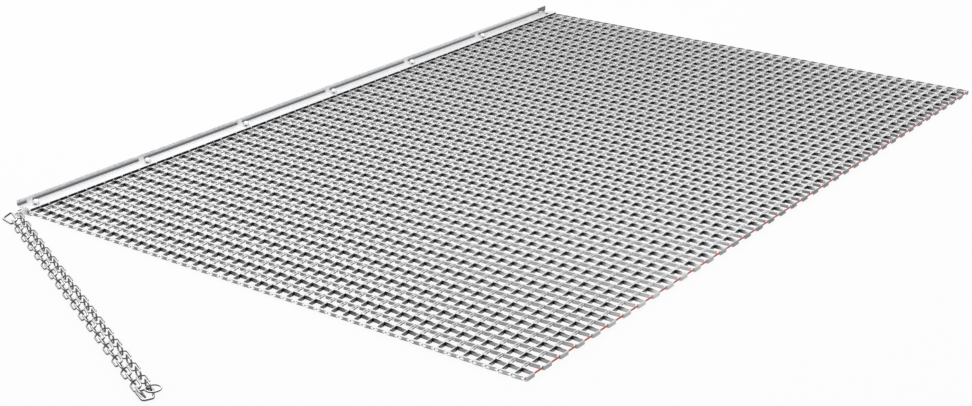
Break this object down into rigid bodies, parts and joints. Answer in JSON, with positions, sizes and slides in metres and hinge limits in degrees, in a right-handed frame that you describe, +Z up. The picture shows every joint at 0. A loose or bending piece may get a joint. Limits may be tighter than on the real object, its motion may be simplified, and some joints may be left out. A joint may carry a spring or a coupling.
{
  "type": "chain harrow",
  "caption": "Flat drag mat of hinged steel strips behind a bolted angle drawbar, with a doubled tow chain ending in pull rings.",
  "frame": {"origin": "centre of the footprint of mat and laid-out chain, on the ground", "axes": "+X along the drawbar to the right end, +Y the direction of travel, +Z up"},
  "size_m": [2.232, 1.23, 0.026],
  "materials": {
    "galvanised_bar": "bright galvanised",
    "zinc_fastener": "zinc plated",
    "mat_strip": "galvanised sheet",
    "rod_steel": "drawn wire",
    "rod_red": "semi gloss",
    "chain_steel": "zinc plated wire",
    "ring_steel": "zinc plated wire"
  },
  "bodies": {
    "drawbar": {"drawbar_angle": "galvanised_bar", "clamp_bar": "galvanised_bar", "plough_bolt_1": "zinc_fastener", "plough_bolt_2": "zinc_fastener", "plough_bolt_3": "zinc_fastener", "plough_bolt_4": "zinc_fastener", "plough_bolt_5": "zinc_fastener", "plough_bolt_6": "zinc_fastener", "plough_bolt_7": "zinc_fastener", "cap_nut_1": "zinc_fastener", "cap_nut_2": "zinc_fastener", "cap_nut_3": "zinc_fastener", "cap_nut_4": "zinc_fastener", "cap_nut_5": "zinc_fastener", "cap_nut_6": "zinc_fastener", "cap_nut_7": "zinc_fastener", "front_strip": "mat_strip", "hinge_rod_01": "rod_steel"},
    "mat_01": {"mat_panel_01": "mat_strip", "hinge_rod_02": "rod_steel"},
    "mat_02": {"mat_panel_02": "mat_strip", "hinge_rod_03": "rod_steel"},
    "mat_03": {"mat_panel_03": "mat_strip", "hinge_rod_04": "rod_steel"},
    "mat_04": {"mat_panel_04": "mat_strip", "hinge_rod_05": "rod_steel"},
    "mat_05": {"mat_panel_05": "mat_strip", "hinge_rod_06": "rod_steel"},
    "mat_06": {"mat_panel_06": "mat_strip", "hinge_rod_07": "rod_steel"},
    "mat_07": {"mat_panel_07": "mat_strip", "hinge_rod_08": "rod_steel"},
    "mat_08": {"mat_panel_08": "mat_strip", "hinge_rod_09": "rod_steel"},
    "mat_09": {"mat_panel_09": "mat_strip", "hinge_rod_10": "rod_steel"},
    "mat_10": {"mat_panel_10": "mat_strip", "hinge_rod_11": "rod_steel"},
    "mat_11": {"mat_panel_11": "mat_strip", "hinge_rod_12": "rod_steel"},
    "mat_12": {"mat_panel_12": "mat_strip", "trailing_rod": "rod_red"},
    "chain_a_1": {"strand_a_1": "chain_steel"},
    "chain_a_2": {"strand_a_2": "chain_steel"},
    "chain_a_3": {"strand_a_3": "chain_steel"},
    "chain_a_4": {"strand_a_4": "chain_steel"},
    "chain_a_5": {"strand_a_5": "chain_steel"},
    "chain_a_6": {"strand_a_6": "chain_steel"},
    "chain_a_7": {"strand_a_7": "chain_steel"},
    "master": {"master_ring": "ring_steel"},
    "tow": {"tow_ring": "ring_steel"},
    "chain_b_7": {"strand_b_7": "chain_steel"},
    "chain_b_6": {"strand_b_6": "chain_steel"},
    "chain_b_5": {"strand_b_5": "chain_steel"},
    "chain_b_4": {"strand_b_4": "chain_steel"},
    "chain_b_3": {"strand_b_3": "chain_steel"},
    "chain_b_2": {"strand_b_2": "chain_steel"},
    "chain_b_1": {"strand_b_1": "chain_steel"},
    "free_end": {"end_ring": "ring_steel"}
  },
  "joints": [
    {"name": "mat_hinge_01", "type": "hinge", "parent": "drawbar", "child": "mat_01", "pos_m": [0.20154, 0.57346, 0.007], "axis": [-1, 0, 0], "range_deg": [-25, 25]},
    {"name": "mat_hinge_02", "type": "hinge", "parent": "mat_01", "child": "mat_02", "pos_m": [0.20154, 0.52192, 0.007], "axis": [-1, 0, 0], "range_deg": [-25, 25]},
    {"name": "mat_hinge_03", "type": "hinge", "parent": "mat_02", "child": "mat_03", "pos_m": [0.20154, 0.41884, 0.007], "axis": [-1, 0, 0], "range_deg": [-25, 25]},
    {"name": "mat_hinge_04", "type": "hinge", "parent": "mat_03", "child": "mat_04", "pos_m": [0.20154, 0.31576, 0.007], "axis": [-1, 0, 0], "range_deg": [-25, 25]},
    {"name": "mat_hinge_05", "type": "hinge", "parent": "mat_04", "child": "mat_05", "pos_m": [0.20154, 0.21268, 0.007], "axis": [-1, 0, 0], "range_deg": [-25, 25]},
    {"name": "mat_hinge_06", "type": "hinge", "parent": "mat_05", "child": "mat_06", "pos_m": [0.20154, 0.1096, 0.007], "axis": [-1, 0, 0], "range_deg": [-25, 25]},
    {"name": "mat_hinge_07", "type": "hinge", "parent": "mat_06", "child": "mat_07", "pos_m": [0.20154, 0.00652, 0.007], "axis": [-1, 0, 0], "range_deg": [-25, 25]},
    {"name": "mat_hinge_08", "type": "hinge", "parent": "mat_07", "child": "mat_08", "pos_m": [0.20154, -0.09656, 0.007], "axis": [-1, 0, 0], "range_deg": [-25, 25]},
    {"name": "mat_hinge_09", "type": "hinge", "parent": "mat_08", "child": "mat_09", "pos_m": [0.20154, -0.19964, 0.007], "axis": [-1, 0, 0], "range_deg": [-25, 25]},
    {"name": "mat_hinge_10", "type": "hinge", "parent": "mat_09", "child": "mat_10", "pos_m": [0.20154, -0.30272, 0.007], "axis": [-1, 0, 0], "range_deg": [-25, 25]},
    {"name": "mat_hinge_11", "type": "hinge", "parent": "mat_10", "child": "mat_11", "pos_m": [0.20154, -0.4058, 0.007], "axis": [-1, 0, 0], "range_deg": [-25, 25]},
    {"name": "mat_hinge_12", "type": "hinge", "parent": "mat_11", "child": "mat_12", "pos_m": [0.20154, -0.50888, 0.007], "axis": [-1, 0, 0], "range_deg": [-25, 25]},
    {"name": "a1_yaw", "type": "hinge", "parent": "drawbar", "child": "chain_a_1", "pos_m": [-0.73367, 0.58626, 0.00854], "axis": [0, 0, 1], "range_deg": [-20, 12]},
    {"name": "a2_pitch", "type": "hinge", "parent": "chain_a_1", "child": "chain_a_2", "pos_m": [-0.78494, 0.47681, 0.00854], "axis": [0.9056, -0.4242, 0], "range_deg": [-30, 30]},
    {"name": "a3_yaw", "type": "hinge", "parent": "chain_a_2", "child": "chain_a_3", "pos_m": [-0.83676, 0.3662, 0.00854], "axis": [0, 0, 1], "range_deg": [0, 30]},
    {"name": "a4_pitch", "type": "hinge", "parent": "chain_a_3", "child": "chain_a_4", "pos_m": [-0.88857, 0.25559, 0.00854], "axis": [0.9056, -0.4242, 0], "range_deg": [-30, 30]},
    {"name": "a5_yaw", "type": "hinge", "parent": "chain_a_4", "child": "chain_a_5", "pos_m": [-0.94038, 0.14498, 0.00854], "axis": [0, 0, 1], "range_deg": [0, 40]},
    {"name": "a6_pitch", "type": "hinge", "parent": "chain_a_5", "child": "chain_a_6", "pos_m": [-0.99219, 0.03437, 0.00854], "axis": [0.9056, -0.4242, 0], "range_deg": [-30, 30]},
    {"name": "a7_yaw", "type": "hinge", "parent": "chain_a_6", "child": "chain_a_7", "pos_m": [-1.04401, -0.07623, 0.00854], "axis": [0, 0, 1], "range_deg": [0, 40]},
    {"name": "master_pitch", "type": "hinge", "parent": "chain_a_7", "child": "master", "pos_m": [-1.08901, -0.15321, 0.006], "axis": [0.9056, -0.4242, 0], "range_deg": [-25, 25]},
    {"name": "tow_lift", "type": "hinge", "parent": "master", "child": "tow", "pos_m": [-1.08095, -0.1551, 0.0099], "axis": [-0.9056, 0.4242, 0], "range_deg": [0, 75]},
    {"name": "b7_pitch", "type": "hinge", "parent": "master", "child": "chain_b_7", "pos_m": [-1.09634, -0.14977, 0.006], "axis": [-0.9056, 0.4242, 0], "range_deg": [-5, 15]},
    {"name": "b6_yaw", "type": "hinge", "parent": "chain_b_7", "child": "chain_b_6", "pos_m": [-1.06389, -0.08049, 0.00713], "axis": [0, 0, 1], "range_deg": [0, 30]},
    {"name": "b5_pitch", "type": "hinge", "parent": "chain_b_6", "child": "chain_b_5", "pos_m": [-1.0212, 0.01063, 0.00713], "axis": [-0.9056, 0.4242, 0], "range_deg": [-30, 30]},
    {"name": "b4_yaw", "type": "hinge", "parent": "chain_b_5", "child": "chain_b_4", "pos_m": [-0.96939, 0.12124, 0.00713], "axis": [0, 0, 1], "range_deg": [0, 30]},
    {"name": "b3_pitch", "type": "hinge", "parent": "chain_b_4", "child": "chain_b_3", "pos_m": [-0.91758, 0.23184, 0.00713], "axis": [-0.9056, 0.4242, 0], "range_deg": [-30, 30]},
    {"name": "b2_yaw", "type": "hinge", "parent": "chain_b_3", "child": "chain_b_2", "pos_m": [-0.86577, 0.34245, 0.00713], "axis": [0, 0, 1], "range_deg": [0, 30]},
    {"name": "b1_pitch", "type": "hinge", "parent": "chain_b_2", "child": "chain_b_1", "pos_m": [-0.81395, 0.45306, 0.00713], "axis": [-0.9056, 0.4242, 0], "range_deg": [-30, 30]},
    {"name": "end_ring_pitch", "type": "hinge", "parent": "chain_b_1", "child": "free_end", "pos_m": [-0.76364, 0.56047, 0.008], "axis": [0.9056, -0.4242, 0], "range_deg": [0, 45]}
  ]
}
